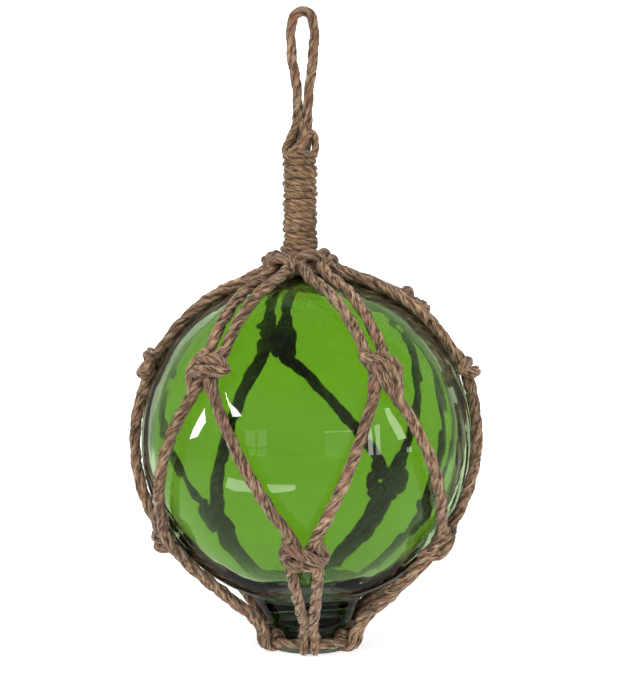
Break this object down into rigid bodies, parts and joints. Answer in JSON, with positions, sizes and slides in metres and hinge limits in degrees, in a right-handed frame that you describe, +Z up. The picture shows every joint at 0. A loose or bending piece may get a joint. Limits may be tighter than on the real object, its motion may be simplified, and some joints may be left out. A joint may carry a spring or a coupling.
{
  "type": "glass float ball",
  "caption": "Clear green glass float ball with a flat foot, held in a knotted net of brown three-strand rope with a whipped neck and a hanging loop.",
  "frame": {"origin": "centre of the glass foot's flat underside", "axes": "+Z up through the neck and the hanging loop, -Y the front; the ball's axis is 2 mm to -X of the foot's"},
  "size_m": [0.2118, 0.2071, 0.3922],
  "materials": {
    "glass": "clear polished glass, tinted green inside",
    "rope": "dry three-strand jute rope with loose fibres",
    "yarn": "dry jute yarn, wound tight"
  },
  "bodies": {
    "root": {"glass_float": "glass", "upper_knot_1": "rope", "upper_knot_2": "rope", "upper_knot_3": "rope", "upper_knot_4": "rope", "upper_knot_5": "rope", "upper_knot_6": "rope", "lower_knot_1": "rope", "lower_knot_2": "rope", "lower_knot_3": "rope", "lower_knot_4": "rope", "lower_knot_5": "rope", "lower_knot_6": "rope", "crown_rope_1_a": "rope", "crown_rope_1_b": "rope", "crown_rope_2_a": "rope", "crown_rope_2_b": "rope", "crown_rope_3_a": "rope", "crown_rope_3_b": "rope", "crown_rope_4_a": "rope", "crown_rope_4_b": "rope", "crown_rope_5_a": "rope", "crown_rope_5_b": "rope", "crown_rope_6_a": "rope", "crown_rope_6_b": "rope", "mesh_rope_1_a": "rope", "mesh_rope_1_b": "rope", "mesh_rope_2_a": "rope", "mesh_rope_2_b": "rope", "mesh_rope_3_a": "rope", "mesh_rope_3_b": "rope", "mesh_rope_4_a": "rope", "mesh_rope_4_b": "rope", "mesh_rope_5_a": "rope", "mesh_rope_5_b": "rope", "mesh_rope_6_a": "rope", "mesh_rope_6_b": "rope", "stay_rope_1_a": "rope", "stay_rope_1_b": "rope", "stay_rope_2_a": "rope", "stay_rope_2_b": "rope", "stay_rope_3_a": "rope", "stay_rope_3_b": "rope", "stay_rope_4_a": "rope", "stay_rope_4_b": "rope", "stay_rope_5_a": "rope", "stay_rope_5_b": "rope", "stay_rope_6_a": "rope", "stay_rope_6_b": "rope", "neck_ring": "rope", "foot_ring": "rope", "neck_whipping": "yarn", "hanging_loop": "rope"}
  },
  "joints": []
}
